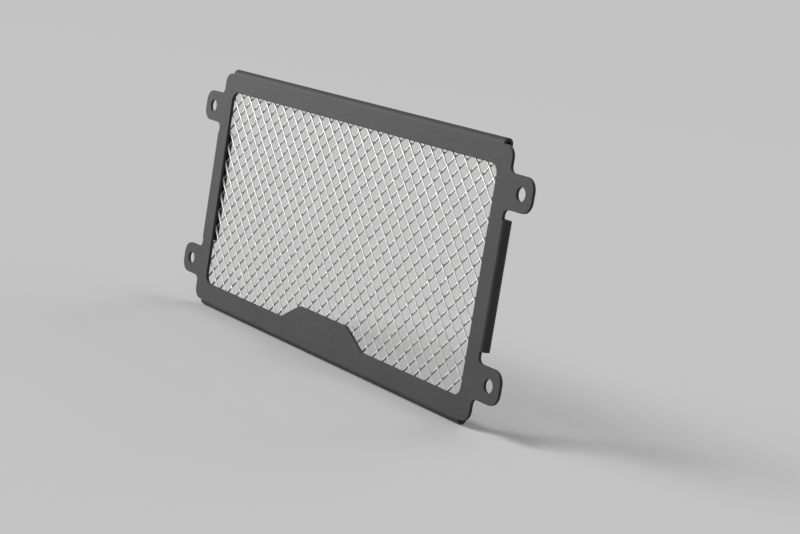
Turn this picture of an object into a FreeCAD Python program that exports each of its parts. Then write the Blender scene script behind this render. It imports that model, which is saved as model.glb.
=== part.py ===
import FreeCAD, Part
import math
import os

# A stone guard for a motorbike's oil cooler: a folded sheet frame that grips a welded wire mesh.
# Millimetres. The front faces -Y, +X is to the right seen from the front, +Z is up.
# The origin is the middle of the four screw holes, on the rear face of the frame's sheet.

# Frame: sheet, window and bars
sheet = 1.5               # thickness of the frame's sheet
window_width = 240.0
window_height = 104.6
window_radius = 5.0       # corners of the window
bar_top = 12.0            # window edge to the outside of the folded edge
bar_bottom = 12.0
bar_side = 12.0
corner_radius = 5.5       # outer corners, where no edge is folded
edge_break = 0.3          # broken front edge round the window
shortest_line = 0.1       # straight stretch left between two roundings

# Frame: plain tab that rises from the lower bar
tab_top_width = 44.5
tab_foot_width = 77.5
tab_height = 9.1
tab_radius = 3.0

# Frame: ears with the screw holes
ear_width = 16.0
ear_inset = 22.0          # frame's upper or lower edge to the hole
ear_reach = 7.5           # frame's side edge to the hole
ear_margin = 8.0          # hole to the outer end of the ear
ear_radius = 6.0
ear_root_radius = 3.0
hole_diameter = 6.5

# Frame: edges folded back over the mesh
hem_setback = 2.0         # window edge to the free edge of the fold
hem_relief = 2.0          # end of a fold to the next rounding
mesh_clearance = 0.1      # rear wires to the folded edge

# Mesh: straight wires in two layers, laid as diamonds
wire_diameter = 1.0
wire_pitch = 6.35         # between two wires of a layer, across them
wire_slope = 45           # degrees that the wires rise or fall by
wire_sides = 8            # flats of a wire's section
mesh_edge_gap = 3.0       # cut edge of the mesh to the start of the fold
mesh_phase_x = -0.60      # one crossing, measured from the middle of the window
mesh_phase_z = 0.95

# What follows from those sizes
hem_gap = 2 * wire_diameter + mesh_clearance
front_depth = wire_diameter / 2
rear_depth = front_depth + wire_diameter
diamond_width = wire_pitch / math.sin(math.radians(wire_slope))
diamond_height = wire_pitch / math.cos(math.radians(wire_slope))
fold_radius = hem_gap / 2 + sheet
frame_half_width = window_width / 2 + bar_side
frame_top = window_height / 2 + bar_top
frame_bottom = -window_height / 2 - bar_bottom
fold_x = frame_half_width - fold_radius
fold_top = frame_top - fold_radius
fold_bottom = frame_bottom + fold_radius
hole_x = frame_half_width + ear_reach
hole_top = frame_top - ear_inset
hole_bottom = frame_bottom + ear_inset


def vec(x, y, z):
    return FreeCAD.Vector(x, y, z)


def rounded_outline(corners, y):
    """A closed outline at depth y through (x, z, radius) corners; its sides limit each rounding."""
    points = [vec(x, y, z) for x, z, radius in corners]
    count = len(points)
    arcs = []
    for k in range(count):
        here = points[k]
        to_last = points[k - 1] - here
        to_next = points[(k + 1) % count] - here
        half_turn = (math.pi - to_last.getAngle(to_next)) / 2
        room = (min(to_last.Length, to_next.Length) - shortest_line) / 2
        setback = min(corners[k][2] * math.tan(half_turn), room)
        radius = setback / math.tan(half_turn)
        to_last.normalize()
        to_next.normalize()
        inward = to_last + to_next
        inward.normalize()
        middle = here + inward * (radius / math.cos(half_turn) - radius)
        arcs.append((here + to_last * setback, middle, here + to_next * setback))
    edges = []
    for k in range(count):
        edges.append(Part.Arc(*arcs[k]).toShape())
        edges.append(Part.makeLine(arcs[k][2], arcs[(k + 1) % count][0]))
    return Part.Wire(edges)


def window_outline():
    """The window, with the tab standing on its lower edge."""
    x = window_width / 2
    top = window_height / 2
    bottom = -window_height / 2
    tab_top = bottom + tab_height
    return rounded_outline([
        (-x, bottom, window_radius),
        (-tab_foot_width / 2, bottom, tab_radius),
        (-tab_top_width / 2, tab_top, tab_radius),
        (tab_top_width / 2, tab_top, tab_radius),
        (tab_foot_width / 2, bottom, tab_radius),
        (x, bottom, window_radius),
        (x, top, window_radius),
        (-x, top, window_radius),
    ], -sheet)


def window_prism():
    return Part.Face(window_outline()).extrude(vec(0, sheet, 0))


def ear_corners(side, z):
    """Corners of one ear from its lower root to its upper root; side is 1 or -1."""
    root = side * fold_x
    tip = side * (hole_x + ear_margin)
    low = z - ear_width / 2
    high = z + ear_width / 2
    return [
        (root, low, ear_root_radius),
        (tip, low, ear_radius),
        (tip, high, ear_radius),
        (root, high, ear_root_radius),
    ]


def sheet_outline():
    """The flat sheet up to its fold lines, with an ear near each corner."""
    right = ear_corners(1, hole_bottom) + ear_corners(1, hole_top)
    left = (ear_corners(-1, hole_bottom) + ear_corners(-1, hole_top))[::-1]
    return rounded_outline(
        [(fold_x, fold_bottom, corner_radius)] + right + [(fold_x, fold_top, corner_radius)]
        + [(-fold_x, fold_top, corner_radius)] + left + [(-fold_x, fold_bottom, corner_radius)],
        -sheet)


def flat_sheet():
    """The sheet before folding, with its window and screw holes cut and the window's front edge broken."""
    blank = Part.Face(sheet_outline()).extrude(vec(0, sheet, 0))
    cuts = [window_prism()]
    for x in (-hole_x, hole_x):
        for z in (hole_bottom, hole_top):
            cuts.append(Part.makeCylinder(hole_diameter / 2, sheet, vec(x, -sheet, z), vec(0, 1, 0)))
    blank = blank.cut(Part.makeCompound(cuts))
    near_window = window_prism().BoundBox
    near_window.enlarge(edge_break)
    front_edges = [edge for edge in blank.Edges
                   if near_window.isInside(edge.BoundBox) and edge.BoundBox.YMax < edge_break - sheet]
    return blank.makeChamfer(edge_break, front_edges)


def fold(length, bar):
    """One folded edge along X, centred on the origin: it folds at z = 0 and turns back behind z < 0."""
    back = -(bar - fold_radius - hem_setback)
    start = -length / 2
    middle = hem_gap / 2
    outer = Part.Arc(vec(start, -sheet, 0), vec(start, middle, fold_radius), vec(start, hem_gap + sheet, 0))
    inner = Part.Arc(vec(start, hem_gap, 0), vec(start, middle, middle), vec(start, 0, 0))
    lines = Part.makePolygon([
        vec(start, hem_gap + sheet, 0),
        vec(start, hem_gap + sheet, back),
        vec(start, hem_gap, back),
        vec(start, hem_gap, 0),
    ])
    edge = Part.makeLine(vec(start, 0, 0), vec(start, -sheet, 0))
    profile = Part.Wire([outer.toShape()] + lines.Edges + [inner.toShape(), edge])
    return Part.Face(profile).extrude(vec(length, 0, 0))


def folded_edges():
    """The four folds; the long ones end before the corners, and the short ones run between the ears."""
    long_length = 2 * (fold_x - corner_radius - hem_relief)
    short_length = hole_top - hole_bottom - ear_width - 2 * (ear_root_radius + hem_relief)
    top = fold(long_length, bar_top)
    top.translate(vec(0, 0, fold_top))
    bottom = fold(long_length, bar_bottom)
    bottom.rotate(vec(0, 0, 0), vec(0, 1, 0), 180)
    bottom.translate(vec(0, 0, fold_bottom))
    folds = [top, bottom]
    for side in (-1, 1):
        short = fold(short_length, bar_side)
        short.rotate(vec(0, 0, 0), vec(0, 1, 0), side * 90)
        short.translate(vec(side * fold_x, 0, (hole_top + hole_bottom) / 2))
        folds.append(short)
    return folds


def make_frame():
    return flat_sheet().multiFuse(folded_edges()).removeSplitter()


def mesh_border():
    """The cut edges of the mesh sheet: left, right, lower, upper."""
    x = fold_x - mesh_edge_gap
    return -x, x, fold_bottom + mesh_edge_gap, fold_top - mesh_edge_gap


def welded_wires():
    """Numbers of the front and rear wires that cross another one on the mesh sheet; the rest fall away."""
    left, right, low, high = mesh_border()
    count = int((right - left) / diamond_width + (high - low) / diamond_height)
    numbers = range(-count, count + 1)
    front, rear = set(), set()
    for k in numbers:
        for m in numbers:
            x = mesh_phase_x + (k + m) * diamond_width / 2
            z = mesh_phase_z + (k - m) * diamond_height / 2
            if min(x - left, right - x, z - low, high - z) > wire_diameter:
                front.add(k)
                rear.add(m)
    return front, rear


def wire_layer(numbers, lean, depth):
    """Parallel wires cut to the mesh sheet; lean is 1 if they rise to the right and -1 if they fall."""
    left, right, low, high = mesh_border()
    width = right - left
    height = high - low
    reach = width + height
    flat = wire_diameter * math.tan(math.pi / wire_sides)
    corner = math.hypot(wire_diameter, flat) / 2
    section = []
    for k in range(wire_sides + 1):
        turn = 2 * math.pi * (k + 0.5) / wire_sides
        section.append(vec(-reach, depth + corner * math.sin(turn), corner * math.cos(turn)))
    wire = Part.Face(Part.makePolygon(section)).extrude(vec(2 * reach, 0, 0))
    wire.rotate(vec(0, 0, 0), vec(0, 1, 0), -lean * wire_slope)
    wires = []
    for k in sorted(numbers):
        copy = wire.copy()
        copy.translate(vec(mesh_phase_x + k * diamond_width, 0, mesh_phase_z))
        wires.append(copy)
    border = Part.makeBox(width, 2 * wire_diameter, height, vec(left, depth - wire_diameter, low))
    return Part.makeCompound(wires).common(border)


def make_mesh():
    """Front wires fall to the right and rear wires rise; each crossing is welded flat to flat."""
    front, rear = welded_wires()
    return wire_layer(front, -1, front_depth).fuse(wire_layer(rear, 1, rear_depth))


os.makedirs("parts", exist_ok=True)
for name, shape in (("frame", make_frame()), ("mesh", make_mesh())):
    shape.exportStep("parts/" + name + ".step")
    print(name, "solids", len(shape.Solids), "mm3", round(shape.Volume, 1), "valid", shape.isValid())
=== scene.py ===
import bmesh
import bpy
import math
import random
from mathutils import Matrix, Vector


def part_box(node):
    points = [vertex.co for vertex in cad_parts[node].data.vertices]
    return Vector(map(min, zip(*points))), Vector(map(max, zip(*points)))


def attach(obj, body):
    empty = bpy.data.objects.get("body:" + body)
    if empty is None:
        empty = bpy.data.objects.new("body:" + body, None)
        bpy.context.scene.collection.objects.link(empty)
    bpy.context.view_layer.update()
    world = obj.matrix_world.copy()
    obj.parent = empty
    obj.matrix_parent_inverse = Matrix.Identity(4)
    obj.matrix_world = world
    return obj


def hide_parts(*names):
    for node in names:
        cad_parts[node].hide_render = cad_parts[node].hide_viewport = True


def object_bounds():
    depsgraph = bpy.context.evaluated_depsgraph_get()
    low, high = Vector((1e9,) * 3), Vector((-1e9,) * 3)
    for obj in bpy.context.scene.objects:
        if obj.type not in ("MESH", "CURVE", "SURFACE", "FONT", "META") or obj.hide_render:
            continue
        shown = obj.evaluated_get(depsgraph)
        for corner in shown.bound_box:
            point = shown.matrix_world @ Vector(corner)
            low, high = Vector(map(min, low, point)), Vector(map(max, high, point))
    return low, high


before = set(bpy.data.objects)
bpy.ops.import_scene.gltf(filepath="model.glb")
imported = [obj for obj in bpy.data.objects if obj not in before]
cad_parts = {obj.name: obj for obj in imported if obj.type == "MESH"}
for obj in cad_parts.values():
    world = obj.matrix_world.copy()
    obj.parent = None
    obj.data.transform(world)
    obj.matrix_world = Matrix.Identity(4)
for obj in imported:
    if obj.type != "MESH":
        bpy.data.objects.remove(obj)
cad_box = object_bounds()

# Metres and degrees. The guard's front faces -Y, +X is to its right seen from the front, +Z is up.

# Camera, as it stood for the photograph
CAMERA_PLACE = (0.7842, -0.5099, 0.1184)
CAMERA_YAW = 54.948
CAMERA_PITCH = 8.006
CAMERA_ROLL = 9.23
CAMERA_LENS_MM = 86.62
SENSOR_MM = 36.0
CLIP_START = 0.01

# Mesh: straight wires in two layers, turned by 45 degrees
WIRE_DIAMETER = 0.0010
WIRE_PITCH = 0.00635
WIRE_SIDES = 12
MESH_PHASE = (-0.00060, 0.00095)      # X and Z of one crossing
PITCH_JITTER = 0.00006                # the most that a wire lies off its place
JITTER_SEED = 5
END_ROOM = 0.0006                     # cut end of a wire to its next ring

# Mesh: at each crossing the wires sink into each other, spread a little and hold a weld nugget
WELD_REACH = 0.0010                   # crossing to where the wire is straight and round again
WELD_CORE = 0.00045                   # crossing to the end of its core
WELD_CORE_SHARE = 0.6                 # share of the sinking and spreading left at the end of the core
WELD_SINK = 0.00003
WELD_SPREAD = 1.03
NUGGET_RADIUS = 0.00060
NUGGET_DEPTH = 0.00030                # from its middle to its front or rear
NUGGET_SIZES = (0.85, 1.1)            # smallest and largest, as shares of that radius
NUGGET_SUBDIVISIONS = 1

# Mesh: what follows from those sizes
DIAGONAL = math.sqrt(0.5)
FALLING = Vector((DIAGONAL, 0, -DIAGONAL))
RISING = Vector((DIAGONAL, 0, DIAGONAL))
INWARD = Vector((0, 1, 0))
SHEET_AXES = (0, 2)
FRONT_DEPTH = WIRE_DIAMETER / 2
REAR_DEPTH = FRONT_DEPTH + WIRE_DIAMETER
RING_TURNS = [2 * math.pi * k / WIRE_SIDES for k in range(WIRE_SIDES)]
WELD_RINGS = (
    (-WELD_REACH, 0.0),
    (-WELD_CORE, WELD_CORE_SHARE),
    (0.0, 1.0),
    (WELD_CORE, WELD_CORE_SHARE),
    (WELD_REACH, 0.0),
)

# Wire: bare drawn stainless steel, streaked along its run, patchy in tone and gloss
WIRE_RUN = "wire_run"                 # attribute that says where a point lies on its wire
STREAK_LENGTH = 0.0040
STREAK_WIDTH = 0.00007
STREAK_SHIFT = 300.0                  # from one wire's streaks to the next wire's
WIRE_STREAKS = {"scale": 1.0, "detail": 3.0, "roughness": 0.6}
WIRE_STREAK_RELIEF = {"strength": 0.15, "distance": 0.00003}
WIRE_PATCHES = {"scale": 240.0, "detail": 4.0, "roughness": 0.65}
WIRE_TONES = ((0.3, (0.40, 0.40, 0.395, 1.0)), (0.72, (0.56, 0.56, 0.55, 1.0)))
WIRE_ROUGHNESS = (0.30, 0.46)

# Coat: black powder, with a fine grain over a faint orange peel, a little mottled in tone
COAT_GRAIN = {"scale": 2600.0, "detail": 3.0, "roughness": 0.6}
COAT_GRAIN_RELIEF = {"strength": 0.6, "distance": 0.00012}
COAT_PEEL = {"scale": 520.0, "detail": 2.0, "roughness": 0.5}
COAT_PEEL_RELIEF = {"strength": 0.5, "distance": 0.00018}
COAT_MOTTLE = {"scale": 38.0, "detail": 4.0, "roughness": 0.6}
COAT_TONES = ((0.3, (0.020, 0.020, 0.021, 1.0)), (0.75, (0.028, 0.028, 0.029, 1.0)))
COAT_ROUGHNESS = (0.54, 0.70)
COAT_SPECULAR = 0.35

# Frame: rounding of the coated edges
COAT_ROUNDING = 0.00028
COAT_ROUNDING_STEPS = 3
ROUND_PROFILE = 0.5
SAME_POINT = 1e-6                     # points nearer than this are one
FLAT_ANGLE = 1.0                      # faces that meet at less than this are one
SMOOTH_ANGLE = 35.0                   # edges that turn by more than this are cut edges
FLAT_FACE_WEIGHT = 100

# Stage: wide soft lamps from the front left and a weaker one from behind, with an even sky
FLOOR_GAP = 0.0002
FLOOR_RADIUS = 4.0
FLOOR_SIDES = 96
FLOOR_FADE = (1.5, 3.8)               # from its middle, where it starts to fade and where it is gone
FLOOR_TONE = 0.61
SKY = 0.40
WHITE = (1.0, 1.0, 1.0, 1.0)
LAMPS = (
    {"name": "key", "azimuth": -35.0, "elevation": 45.0, "spread": 24.0, "power": 1.5},
    {"name": "side", "azimuth": -55.0, "elevation": 5.0, "spread": 24.0, "power": 2.3},
    {"name": "back", "azimuth": -160.0, "elevation": 35.0, "spread": 30.0, "power": 0.5},
)


def new_object(name, data):
    """An object in the scene's own collection."""
    thing = bpy.data.objects.new(name, data)
    bpy.context.scene.collection.objects.link(thing)
    return thing


def new_material(name):
    """A node material, with its tree and its shader."""
    material = bpy.data.materials.new(name)
    material.use_nodes = True
    return material, material.node_tree, material.node_tree.nodes["Principled BSDF"]


def add_node(tree, kind, **values):
    """A shader node with some of its properties or inputs set."""
    node = tree.nodes.new(kind)
    for key, value in values.items():
        if hasattr(node, key):
            setattr(node, key, value)
        else:
            node.inputs[key.replace("_", " ").title()].default_value = value
    return node


def noise(tree, place, pattern):
    """A noise pattern between 0 and 1, laid out by a place."""
    texture = add_node(tree, "ShaderNodeTexNoise", **pattern)
    tree.links.new(place, texture.inputs["Vector"])
    return texture.outputs["Fac"]


def tone_ramp(tree, pattern, tones):
    """A colour that runs between two tones as a pattern rises."""
    ramp = add_node(tree, "ShaderNodeValToRGB")
    for stop, (position, colour) in zip(ramp.color_ramp.elements, tones):
        stop.position = position
        stop.color = colour
    tree.links.new(pattern, ramp.inputs["Fac"])
    return ramp.outputs["Color"]


def value_range(tree, pattern, ends):
    """A value that runs from the first end to the second as a pattern goes from 0 to 1."""
    spread = add_node(tree, "ShaderNodeMapRange", to_min=ends[0], to_max=ends[1])
    tree.links.new(pattern, spread.inputs["Value"])
    return spread.outputs["Result"]


def relief(tree, pattern, size):
    """A bump node that raises the surface where a pattern is high."""
    bump = add_node(tree, "ShaderNodeBump", **size)
    tree.links.new(pattern, bump.inputs["Height"])
    return bump


def powder_coat():
    """Black powder coat: its grain carries the gloss, and both its grain and its peel stand in relief."""
    material, tree, shader = new_material("black_powder_coat")
    link = tree.links.new
    place = add_node(tree, "ShaderNodeTexCoord").outputs["Object"]
    grain = noise(tree, place, COAT_GRAIN)
    peel = noise(tree, place, COAT_PEEL)
    mottle = noise(tree, place, COAT_MOTTLE)
    link(tone_ramp(tree, mottle, COAT_TONES), shader.inputs["Base Color"])
    link(value_range(tree, grain, COAT_ROUGHNESS), shader.inputs["Roughness"])
    fine = relief(tree, grain, COAT_GRAIN_RELIEF)
    broad = relief(tree, peel, COAT_PEEL_RELIEF)
    link(fine.outputs["Normal"], broad.inputs["Normal"])
    link(broad.outputs["Normal"], shader.inputs["Normal"])
    shader.inputs["Specular IOR Level"].default_value = COAT_SPECULAR
    return material


def drawn_wire():
    """Bare drawn wire: satin metal with fine streaks along each wire and duller patches."""
    material, tree, shader = new_material("drawn_stainless_wire")
    link = tree.links.new
    place = add_node(tree, "ShaderNodeTexCoord").outputs["Object"]
    run = add_node(tree, "ShaderNodeAttribute", attribute_name=WIRE_RUN).outputs["Vector"]
    streaks = noise(tree, run, WIRE_STREAKS)
    patches = noise(tree, place, WIRE_PATCHES)
    link(tone_ramp(tree, patches, WIRE_TONES), shader.inputs["Base Color"])
    link(value_range(tree, patches, WIRE_ROUGHNESS), shader.inputs["Roughness"])
    link(relief(tree, streaks, WIRE_STREAK_RELIEF).outputs["Normal"], shader.inputs["Normal"])
    shader.inputs["Metallic"].default_value = 1.0
    return material


def round_cut_edges(work):
    """Joins the triangles of each flat face and rounds the cut edges, all inside the solid's own box."""
    bmesh.ops.remove_doubles(work, verts=work.verts, dist=SAME_POINT)
    flat = math.radians(FLAT_ANGLE)
    bmesh.ops.dissolve_limit(work, angle_limit=flat, verts=work.verts, edges=work.edges)
    low = [min(vertex.co[axis] for vertex in work.verts) for axis in range(3)]
    high = [max(vertex.co[axis] for vertex in work.verts) for axis in range(3)]
    sharp = math.radians(SMOOTH_ANGLE)
    cut_edges = [edge for edge in work.edges if edge.calc_face_angle() > sharp]
    bmesh.ops.bevel(
        work, geom=cut_edges, affect="EDGES", offset=COAT_ROUNDING, segments=COAT_ROUNDING_STEPS,
        profile=ROUND_PROFILE, clamp_overlap=True)
    for vertex in work.verts:
        vertex.co = [min(max(vertex.co[axis], low[axis]), high[axis]) for axis in range(3)]


def coated_frame(material):
    """The folded frame, with the coat's soft rounding on every cut edge."""
    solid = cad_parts["frame"]
    mesh = solid.data.copy()
    piece = new_object("guard_frame", mesh)
    piece.matrix_world = solid.matrix_world
    work = bmesh.new()
    work.from_mesh(mesh)
    round_cut_edges(work)
    work.to_mesh(mesh)
    work.free()
    mesh.materials.clear()
    mesh.materials.append(material)
    mesh.shade_smooth()
    even = piece.modifiers.new("flat_faces_shade_flat", "WEIGHTED_NORMAL")
    even.mode = "FACE_AREA"
    even.weight = FLAT_FACE_WEIGHT
    return piece


def wire_offsets(span):
    """Offsets of one layer's wires on both sides of the first crossing, each a little off its place."""
    count = int(span / WIRE_PITCH) + 1
    numbers = range(-count, count + 1)
    return [k * WIRE_PITCH + random.uniform(-PITCH_JITTER, PITCH_JITTER) for k in numbers]


def clip(origin, along, low, high):
    """Where a line through origin enters and leaves the mesh sheet, as two distances, or None."""
    enter = -math.inf
    leave = math.inf
    for axis in SHEET_AXES:
        a = (low[axis] - origin[axis]) / along[axis]
        b = (high[axis] - origin[axis]) / along[axis]
        enter = max(enter, min(a, b))
        leave = min(leave, max(a, b))
    return (enter, leave) if leave - enter > WIRE_DIAMETER else None


def is_welded(reach, crossings):
    """Whether a wire crosses another one inside the sheet, a wire's diameter or more from its border."""
    start, end = reach
    room = WIRE_DIAMETER / DIAGONAL
    return any(start + room < s < end - room for s in crossings)


def ring_places(start, end, crossings):
    """Where a wire has rings: its cut ends, and a few about each crossing with their share of the weld."""
    places = [(start, 0.0), (end, 0.0)]
    for s in crossings:
        for shift, share in WELD_RINGS:
            if start + END_ROOM < s + shift < end - END_ROOM:
                places.append((s + shift, share))
    return sorted(places)


def ring_points(centre, across, share):
    """Points round a wire at one place, spread by that place's share of a weld."""
    wide = WIRE_DIAMETER / 2 * (1 + (WELD_SPREAD - 1) * share)
    thick = WIRE_DIAMETER / 2 * (1 - (WELD_SPREAD - 1) * share)
    points = []
    for turn in RING_TURNS:
        points.append(centre + across * (wide * math.cos(turn)) + INWARD * (thick * math.sin(turn)))
    return points


def shear(points, along, low, high, at_start):
    """Slides the points of a wire's end along the wire onto the sheet's cut edges."""
    moved = []
    for point in points:
        slides = []
        for axis in SHEET_AXES:
            edge = low[axis] if (along[axis] > 0) == at_start else high[axis]
            slides.append((edge - point[axis]) / along[axis])
        moved.append(point + along * (max(slides) if at_start else min(slides)))
    return moved


def streak_place(turn, s, shift):
    """Where a point lies on its wire, in streaks: two across the wire's section and one along it."""
    return Vector((
        math.cos(turn) * WIRE_DIAMETER / 2 / STREAK_WIDTH,
        math.sin(turn) * WIRE_DIAMETER / 2 / STREAK_WIDTH,
        shift + s / STREAK_LENGTH,
    ))


def add_wire(work, run, shift, origin, along, sink, places, low, high):
    """One round wire: rings along it, sunk and spread a little where it is welded, with sheared ends."""
    across = INWARD.cross(along)
    rings = []
    for s, share in places:
        centre = origin + along * s + INWARD * (sink * share)
        rings.append(ring_points(centre, across, share))
    rings[0] = shear(rings[0], along, low, high, True)
    rings[-1] = shear(rings[-1], along, low, high, False)
    loops = []
    for (s, share), points in zip(places, rings):
        loop = []
        for turn, point in zip(RING_TURNS, points):
            vertex = work.verts.new(point)
            vertex[run] = streak_place(turn, s, shift)
            loop.append(vertex)
        loops.append(loop)
    for one, two in zip(loops, loops[1:]):
        for m in range(WIRE_SIDES):
            n = (m + 1) % WIRE_SIDES
            work.faces.new((one[m], one[n], two[n], two[m]))
    work.faces.new(loops[0][::-1])
    work.faces.new(loops[-1])


def straight_wires(falling, rising, phase, low, high, material):
    """Front wires that fall to the right and rear wires that rise; one that isn't welded isn't made."""
    work = bmesh.new()
    run = work.verts.layers.float_vector.new(WIRE_RUN)
    shift = 0.0
    for along, aside, offsets, crossings, depth, sink in (
            (FALLING, RISING, falling, rising, FRONT_DEPTH, WELD_SINK),
            (RISING, FALLING, rising, falling, REAR_DEPTH, -WELD_SINK)):
        for offset in offsets:
            origin = phase + aside * offset + INWARD * depth
            reach = clip(origin, along, low, high)
            if reach and is_welded(reach, crossings):
                shift += STREAK_SHIFT
                places = ring_places(*reach, crossings)
                add_wire(work, run, shift, origin, along, sink, places, low, high)
    return finish_mesh(work, "mesh_wires", material)


def weld_nuggets(falling, rising, phase, low, high, material):
    """A small flat nugget between the two layers at each crossing on the sheet."""
    work = bmesh.new()
    inset = NUGGET_RADIUS
    for a in falling:
        for b in rising:
            spot = phase + RISING * a + FALLING * b + INWARD * WIRE_DIAMETER
            if all(low[axis] + inset < spot[axis] < high[axis] - inset for axis in SHEET_AXES):
                radius = NUGGET_RADIUS * random.uniform(*NUGGET_SIZES)
                form = Matrix.Translation(spot) @ Matrix.Diagonal((radius, NUGGET_DEPTH, radius, 1.0))
                bmesh.ops.create_icosphere(work, subdivisions=NUGGET_SUBDIVISIONS, radius=1.0, matrix=form)
    return finish_mesh(work, "mesh_welds", material)


def wire_mesh(material):
    """The welded mesh, as its wires and its weld nuggets."""
    low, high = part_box("mesh")
    random.seed(JITTER_SEED)
    span = (high[0] - low[0] + high[2] - low[2]) / 2
    falling = wire_offsets(span)
    rising = wire_offsets(span)
    phase = Vector((MESH_PHASE[0], low[1], MESH_PHASE[1]))
    wires = straight_wires(falling, rising, phase, low, high, material)
    welds = weld_nuggets(falling, rising, phase, low, high, material)
    return wires, welds


def finish_mesh(work, name, material):
    """Turns a working mesh into a smooth shaded object."""
    mesh = bpy.data.meshes.new(name)
    bmesh.ops.recalc_face_normals(work, faces=work.faces)
    work.to_mesh(mesh)
    work.free()
    mesh.materials.append(material)
    mesh.shade_smooth()
    mesh.set_sharp_from_angle(angle=math.radians(SMOOTH_ANGLE))
    return new_object(name, mesh)


def floor():
    """A wide pale floor that fades into the backdrop."""
    material, tree, shader = new_material("pale_floor")
    link = tree.links.new
    shader.inputs["Base Color"].default_value = (FLOOR_TONE, FLOOR_TONE, FLOOR_TONE, 1.0)
    shader.inputs["Roughness"].default_value = 1.0
    shader.inputs["Specular IOR Level"].default_value = 0.0
    clear = add_node(tree, "ShaderNodeBsdfTransparent")
    mix = add_node(tree, "ShaderNodeMixShader")
    place = add_node(tree, "ShaderNodeTexCoord")
    far = add_node(tree, "ShaderNodeVectorMath", operation="LENGTH")
    fade = add_node(
        tree, "ShaderNodeMapRange", interpolation_type="SMOOTHSTEP",
        from_min=FLOOR_FADE[0], from_max=FLOOR_FADE[1])
    link(place.outputs["Object"], far.inputs[0])
    link(far.outputs["Value"], fade.inputs["Value"])
    link(fade.outputs["Result"], mix.inputs["Fac"])
    link(shader.outputs["BSDF"], mix.inputs[1])
    link(clear.outputs["BSDF"], mix.inputs[2])
    link(mix.outputs["Shader"], tree.nodes["Material Output"].inputs["Surface"])
    work = bmesh.new()
    bmesh.ops.create_circle(work, cap_ends=True, segments=FLOOR_SIDES, radius=FLOOR_RADIUS)
    thing = finish_mesh(work, "floor", material)
    thing.location = (0, 0, cad_box[0][2] - FLOOR_GAP)


def floor_brightness():
    """How bright the open floor looks under the sky and the lamps."""
    light = SKY
    for lamp in LAMPS:
        light += lamp["power"] * math.sin(math.radians(lamp["elevation"])) / math.pi
    return FLOOR_TONE * light


def backdrop():
    """A world that shows the floor's tone to the camera and in reflections, and lights as an even sky."""
    world = bpy.data.worlds.new("pale_room")
    bpy.context.scene.world = world
    world.use_nodes = True
    tree = world.node_tree
    link = tree.links.new
    light = tree.nodes["Background"]
    light.inputs["Color"].default_value = WHITE
    light.inputs["Strength"].default_value = SKY
    seen = add_node(tree, "ShaderNodeBackground")
    seen.inputs["Color"].default_value = WHITE
    seen.inputs["Strength"].default_value = floor_brightness()
    path = add_node(tree, "ShaderNodeLightPath")
    both = add_node(tree, "ShaderNodeMath", operation="MAXIMUM")
    shown = add_node(tree, "ShaderNodeMath", operation="MAXIMUM")
    mix = add_node(tree, "ShaderNodeMixShader")
    link(path.outputs["Is Camera Ray"], both.inputs[0])
    link(path.outputs["Is Glossy Ray"], both.inputs[1])
    link(both.outputs["Value"], shown.inputs[0])
    link(path.outputs["Is Transmission Ray"], shown.inputs[1])
    link(shown.outputs["Value"], mix.inputs["Fac"])
    link(light.outputs["Background"], mix.inputs[1])
    link(seen.outputs["Background"], mix.inputs[2])
    link(mix.outputs["Shader"], tree.nodes["World Output"].inputs["Surface"])


def soft_lamp(name, azimuth, elevation, spread, power):
    """A far, wide lamp, so that the floor is lit evenly; its azimuth turns from the front to the right."""
    lamp = bpy.data.lights.new(name, "SUN")
    lamp.energy = power
    lamp.angle = math.radians(spread)
    thing = new_object(name, lamp)
    thing.rotation_euler = (math.radians(90.0 - elevation), 0, math.radians(azimuth))


def camera():
    """The camera at the photograph's place, angle and lens."""
    lens = bpy.data.cameras.new("photo_camera")
    lens.lens = CAMERA_LENS_MM
    lens.sensor_width = SENSOR_MM
    lens.sensor_fit = "HORIZONTAL"
    lens.clip_start = CLIP_START
    thing = new_object("photo_camera", lens)
    turn = Matrix.Rotation(math.radians(CAMERA_YAW), 4, "Z")
    tip = Matrix.Rotation(math.radians(90.0 - CAMERA_PITCH), 4, "X")
    roll = Matrix.Rotation(math.radians(CAMERA_ROLL), 4, "Z")
    thing.matrix_world = Matrix.Translation(CAMERA_PLACE) @ turn @ tip @ roll
    bpy.context.scene.camera = thing


bpy.context.scene.view_settings.view_transform = "Standard"
backdrop()
floor()
for lamp in LAMPS:
    soft_lamp(**lamp)
camera()

coat = powder_coat()
steel = drawn_wire()
frame_piece = coated_frame(coat)
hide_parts("frame")
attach(frame_piece, "root")
wires, welds = wire_mesh(steel)
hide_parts("mesh")
for piece in (wires, welds):
    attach(piece, "root")
